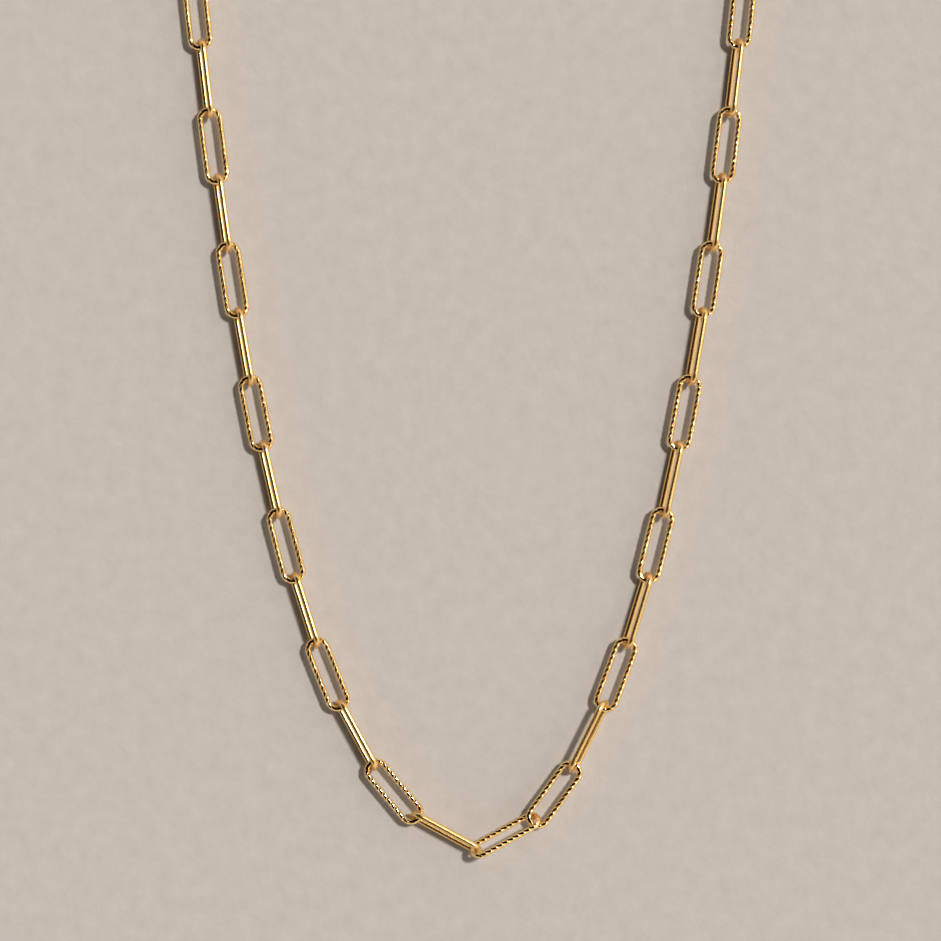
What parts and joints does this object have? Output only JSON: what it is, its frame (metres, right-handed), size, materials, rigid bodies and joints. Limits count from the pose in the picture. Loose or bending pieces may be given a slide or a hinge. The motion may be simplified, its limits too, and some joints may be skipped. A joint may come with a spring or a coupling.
{
  "type": "chain necklace",
  "caption": "Paperclip-style chain necklace of elongated textured and plain links hooked through each other, unfastened and laid flat, with a sprung lobster clasp and an end ring.",
  "frame": {"origin": "centre of the plain link's end wire at the lowest point of the hanging curve", "axes": "+Y up the strands towards the clasp, +X to the right strand, +Z out of the plane that the chain is laid flat in"},
  "size_m": [0.1132, 0.2186, 0.0049],
  "materials": {
    "textured_gold": "gold plated, cut all along with slanting facets",
    "plain_gold": "gold plated, polished",
    "clasp_gold": "gold plated, polished",
    "lever_gold": "gold plated, polished",
    "spring_steel": "plain spring steel"
  },
  "bodies": {
    "right_01_textured_link": {"right_01_textured_link": "textured_gold"},
    "left_01_plain_link": {"left_01_plain_link": "plain_gold"},
    "left_02_textured_link": {"left_02_textured_link": "textured_gold"},
    "left_03_plain_link": {"left_03_plain_link": "plain_gold"},
    "left_04_textured_link": {"left_04_textured_link": "textured_gold"},
    "left_05_plain_link": {"left_05_plain_link": "plain_gold"},
    "left_06_textured_link": {"left_06_textured_link": "textured_gold"},
    "left_07_plain_link": {"left_07_plain_link": "plain_gold"},
    "left_08_textured_link": {"left_08_textured_link": "textured_gold"},
    "left_09_plain_link": {"left_09_plain_link": "plain_gold"},
    "left_10_textured_link": {"left_10_textured_link": "textured_gold"},
    "left_11_plain_link": {"left_11_plain_link": "plain_gold"},
    "left_12_textured_link": {"left_12_textured_link": "textured_gold"},
    "left_13_plain_link": {"left_13_plain_link": "plain_gold"},
    "left_14_textured_link": {"left_14_textured_link": "textured_gold"},
    "left_15_plain_link": {"left_15_plain_link": "plain_gold"},
    "left_16_textured_link": {"left_16_textured_link": "textured_gold"},
    "left_17_plain_link": {"left_17_plain_link": "plain_gold"},
    "left_18_textured_link": {"left_18_textured_link": "textured_gold"},
    "clasp_jump_ring": {"clasp_jump_ring": "plain_gold"},
    "right_02_textured_link": {"right_02_textured_link": "textured_gold"},
    "right_03_plain_link": {"right_03_plain_link": "plain_gold"},
    "right_04_textured_link": {"right_04_textured_link": "textured_gold"},
    "right_05_plain_link": {"right_05_plain_link": "plain_gold"},
    "right_06_textured_link": {"right_06_textured_link": "textured_gold"},
    "right_07_plain_link": {"right_07_plain_link": "plain_gold"},
    "right_08_textured_link": {"right_08_textured_link": "textured_gold"},
    "right_09_plain_link": {"right_09_plain_link": "plain_gold"},
    "right_10_textured_link": {"right_10_textured_link": "textured_gold"},
    "right_11_plain_link": {"right_11_plain_link": "plain_gold"},
    "right_12_textured_link": {"right_12_textured_link": "textured_gold"},
    "right_13_plain_link": {"right_13_plain_link": "plain_gold"},
    "right_14_textured_link": {"right_14_textured_link": "textured_gold"},
    "right_15_plain_link": {"right_15_plain_link": "plain_gold"},
    "right_16_textured_link": {"right_16_textured_link": "textured_gold"},
    "right_17_plain_link": {"right_17_plain_link": "plain_gold"},
    "right_18_textured_link": {"right_18_textured_link": "textured_gold"},
    "end_ring": {"end_ring": "plain_gold"},
    "clasp": {"clasp_body": "clasp_gold", "clasp_rivet": "lever_gold", "clasp_spring": "spring_steel"},
    "clasp_lever": {"clasp_lever": "lever_gold"}
  },
  "joints": [
    {"name": "lever_turn", "type": "hinge", "parent": "clasp", "child": "clasp_lever", "pos_m": [-0.05548, 0.21061, 0], "axis": [0, 0, 1], "range_deg": [0, 28], "stiffness_Nm_per_rad": 0.001, "springref_deg": -17.19, "deforming": ["clasp_spring"]},
    {"name": "left_01_swing", "type": "hinge", "parent": "right_01_textured_link", "child": "left_01_plain_link", "pos_m": [0, 0, 0], "axis": [-0.1395, -0.2569, -0.9563], "range_deg": [-8, 60]},
    {"name": "left_02_swing", "type": "hinge", "parent": "left_01_plain_link", "child": "left_02_textured_link", "pos_m": [-0.01173, 0.00637, 0], "axis": [0.1395, 0.2569, 0.9563], "range_deg": [-70, 70]},
    {"name": "left_03_swing", "type": "hinge", "parent": "left_02_textured_link", "child": "left_03_plain_link", "pos_m": [-0.01928, 0.01547, 0], "axis": [-0.7698, -0.6383, 0], "range_deg": [-70, 70]},
    {"name": "left_04_swing", "type": "hinge", "parent": "left_03_plain_link", "child": "left_04_textured_link", "pos_m": [-0.0249, 0.02635, 0], "axis": [0.2572, 0.139, 0.9563], "range_deg": [-70, 70]},
    {"name": "left_05_swing", "type": "hinge", "parent": "left_04_textured_link", "child": "left_05_plain_link", "pos_m": [-0.0293, 0.03732, 0], "axis": [0.9283, 0.3719, 0], "range_deg": [-70, 70]},
    {"name": "left_06_swing", "type": "hinge", "parent": "left_05_plain_link", "child": "left_06_textured_link", "pos_m": [-0.03293, 0.04899, 0], "axis": [-0.2786, -0.0887, -0.9563], "range_deg": [-70, 70]},
    {"name": "left_07_swing", "type": "hinge", "parent": "left_06_textured_link", "child": "left_07_plain_link", "pos_m": [-0.03594, 0.06042, 0], "axis": [0.9668, 0.2554, 0], "range_deg": [-70, 70]},
    {"name": "left_08_swing", "type": "hinge", "parent": "left_07_plain_link", "child": "left_08_textured_link", "pos_m": [-0.03859, 0.07235, 0], "axis": [-0.2852, -0.0644, -0.9563], "range_deg": [-70, 70]},
    {"name": "left_09_swing", "type": "hinge", "parent": "left_08_textured_link", "child": "left_09_plain_link", "pos_m": [-0.04088, 0.08394, 0], "axis": [-0.9811, -0.1933, 0], "range_deg": [-70, 70]},
    {"name": "left_10_swing", "type": "hinge", "parent": "left_09_plain_link", "child": "left_10_textured_link", "pos_m": [-0.04296, 0.09599, 0], "axis": [0.288, 0.0503, 0.9563], "range_deg": [-70, 70]},
    {"name": "left_11_swing", "type": "hinge", "parent": "left_10_textured_link", "child": "left_11_plain_link", "pos_m": [-0.04479, 0.10766, 0], "axis": [-0.9879, -0.1552, 0], "range_deg": [-70, 70]},
    {"name": "left_12_swing", "type": "hinge", "parent": "left_11_plain_link", "child": "left_12_textured_link", "pos_m": [-0.0465, 0.11976, 0], "axis": [0.2894, 0.0413, 0.9563], "range_deg": [-70, 70]},
    {"name": "right_02_swing", "type": "hinge", "parent": "right_01_textured_link", "child": "right_02_textured_link", "pos_m": [0.01033, 0.00585, -0.00006], "axis": [0, 0, 1], "range_deg": [-30, 12]},
    {"name": "right_03_swing", "type": "hinge", "parent": "right_02_textured_link", "child": "right_03_plain_link", "pos_m": [0.01712, 0.01518, 0], "axis": [-0.8085, 0.5885, 0], "range_deg": [-70, 70]},
    {"name": "right_04_swing", "type": "hinge", "parent": "right_03_plain_link", "child": "right_04_textured_link", "pos_m": [0.02238, 0.02623, 0], "axis": [-0.262, 0.1298, 0.9563], "range_deg": [-70, 70]},
    {"name": "right_05_swing", "type": "hinge", "parent": "right_04_textured_link", "child": "right_05_plain_link", "pos_m": [0.02653, 0.0373, 0], "axis": [0.9362, -0.3514, 0], "range_deg": [-70, 70]},
    {"name": "right_06_swing", "type": "hinge", "parent": "right_05_plain_link", "child": "right_06_textured_link", "pos_m": [0.03, 0.04902, 0], "axis": [0.2799, -0.0846, 0.9563], "range_deg": [-70, 70]},
    {"name": "right_07_swing", "type": "hinge", "parent": "right_06_textured_link", "child": "right_07_plain_link", "pos_m": [0.03289, 0.06048, 0], "axis": [0.9695, -0.2452, 0], "range_deg": [-70, 70]},
    {"name": "right_08_swing", "type": "hinge", "parent": "right_07_plain_link", "child": "right_08_textured_link", "pos_m": [0.03545, 0.07243, 0], "axis": [-0.2857, 0.0621, -0.9563], "range_deg": [-70, 70]},
    {"name": "right_09_swing", "type": "hinge", "parent": "right_08_textured_link", "child": "right_09_plain_link", "pos_m": [0.03767, 0.08404, 0], "axis": [-0.9823, 0.1873, 0], "range_deg": [-70, 70]},
    {"name": "right_10_swing", "type": "hinge", "parent": "right_09_plain_link", "child": "right_10_textured_link", "pos_m": [0.03969, 0.09609, 0], "axis": [-0.2882, 0.0489, -0.9563], "range_deg": [-70, 70]},
    {"name": "right_11_swing", "type": "hinge", "parent": "right_10_textured_link", "child": "right_11_plain_link", "pos_m": [0.04148, 0.10777, 0], "axis": [-0.9885, 0.1513, 0], "range_deg": [-70, 70]},
    {"name": "right_12_swing", "type": "hinge", "parent": "right_11_plain_link", "child": "right_12_textured_link", "pos_m": [0.04315, 0.11988, 0], "axis": [0.2896, -0.0403, 0.9563], "range_deg": [-70, 70]},
    {"name": "clasp_swing", "type": "hinge", "parent": "clasp_jump_ring", "child": "clasp", "pos_m": [-0.05557, 0.20584, 0], "axis": [0.2913, 0.0253, 0.9563], "range_deg": [-60, 60]},
    {"name": "clasp_jump_ring_swing", "type": "hinge", "parent": "left_18_textured_link", "child": "clasp_jump_ring", "pos_m": [-0.05534, 0.20323, 0], "axis": [-0.9963, -0.0864, 0], "range_deg": [-70, 70]},
    {"name": "end_ring_swing", "type": "hinge", "parent": "right_18_textured_link", "child": "end_ring", "pos_m": [0.05183, 0.20336, 0], "axis": [-0.9964, 0.0852, 0], "range_deg": [-70, 70]},
    {"name": "left_13_swing", "type": "hinge", "parent": "left_12_textured_link", "child": "left_13_plain_link", "pos_m": [-0.04803, 0.13148, 0], "axis": [0.9916, 0.1295, 0], "range_deg": [-70, 70]},
    {"name": "left_14_swing", "type": "hinge", "parent": "left_13_plain_link", "child": "left_14_textured_link", "pos_m": [-0.04948, 0.14362, 0], "axis": [-0.2903, -0.035, -0.9563], "range_deg": [-70, 70]},
    {"name": "left_15_swing", "type": "hinge", "parent": "left_14_textured_link", "child": "left_15_plain_link", "pos_m": [-0.0508, 0.15536, 0], "axis": [0.9938, 0.1111, 0], "range_deg": [-70, 70]},
    {"name": "left_16_swing", "type": "hinge", "parent": "left_15_plain_link", "child": "left_16_textured_link", "pos_m": [-0.05206, 0.16752, 0], "axis": [-0.2908, -0.0303, -0.9563], "range_deg": [-70, 70]},
    {"name": "left_17_swing", "type": "hinge", "parent": "left_16_textured_link", "child": "left_17_plain_link", "pos_m": [-0.05321, 0.17928, 0], "axis": [-0.9953, -0.0972, 0], "range_deg": [-70, 70]},
    {"name": "left_18_swing", "type": "hinge", "parent": "left_17_plain_link", "child": "left_18_textured_link", "pos_m": [-0.05432, 0.19145, 0], "axis": [0.2911, 0.0268, 0.9563], "range_deg": [-70, 70]},
    {"name": "right_13_swing", "type": "hinge", "parent": "right_12_textured_link", "child": "right_13_plain_link", "pos_m": [0.04465, 0.1316, 0], "axis": [0.9919, -0.1268, 0], "range_deg": [-70, 70]},
    {"name": "right_14_swing", "type": "hinge", "parent": "right_13_plain_link", "child": "right_14_textured_link", "pos_m": [0.04607, 0.14374, 0], "axis": [0.2904, -0.0343, 0.9563], "range_deg": [-70, 70]},
    {"name": "right_15_swing", "type": "hinge", "parent": "right_14_textured_link", "child": "right_15_plain_link", "pos_m": [0.04736, 0.15549, 0], "axis": [0.994, -0.1091, 0], "range_deg": [-70, 70]},
    {"name": "right_16_swing", "type": "hinge", "parent": "right_15_plain_link", "child": "right_16_textured_link", "pos_m": [0.0486, 0.16765, 0], "axis": [-0.2908, 0.0298, -0.9563], "range_deg": [-70, 70]},
    {"name": "right_17_swing", "type": "hinge", "parent": "right_16_textured_link", "child": "right_17_plain_link", "pos_m": [0.04973, 0.17941, 0], "axis": [-0.9954, 0.0957, 0], "range_deg": [-70, 70]},
    {"name": "right_18_swing", "type": "hinge", "parent": "right_17_plain_link", "child": "right_18_textured_link", "pos_m": [0.05082, 0.19158, 0], "axis": [-0.2912, 0.0264, -0.9563], "range_deg": [-70, 70]}
  ]
}
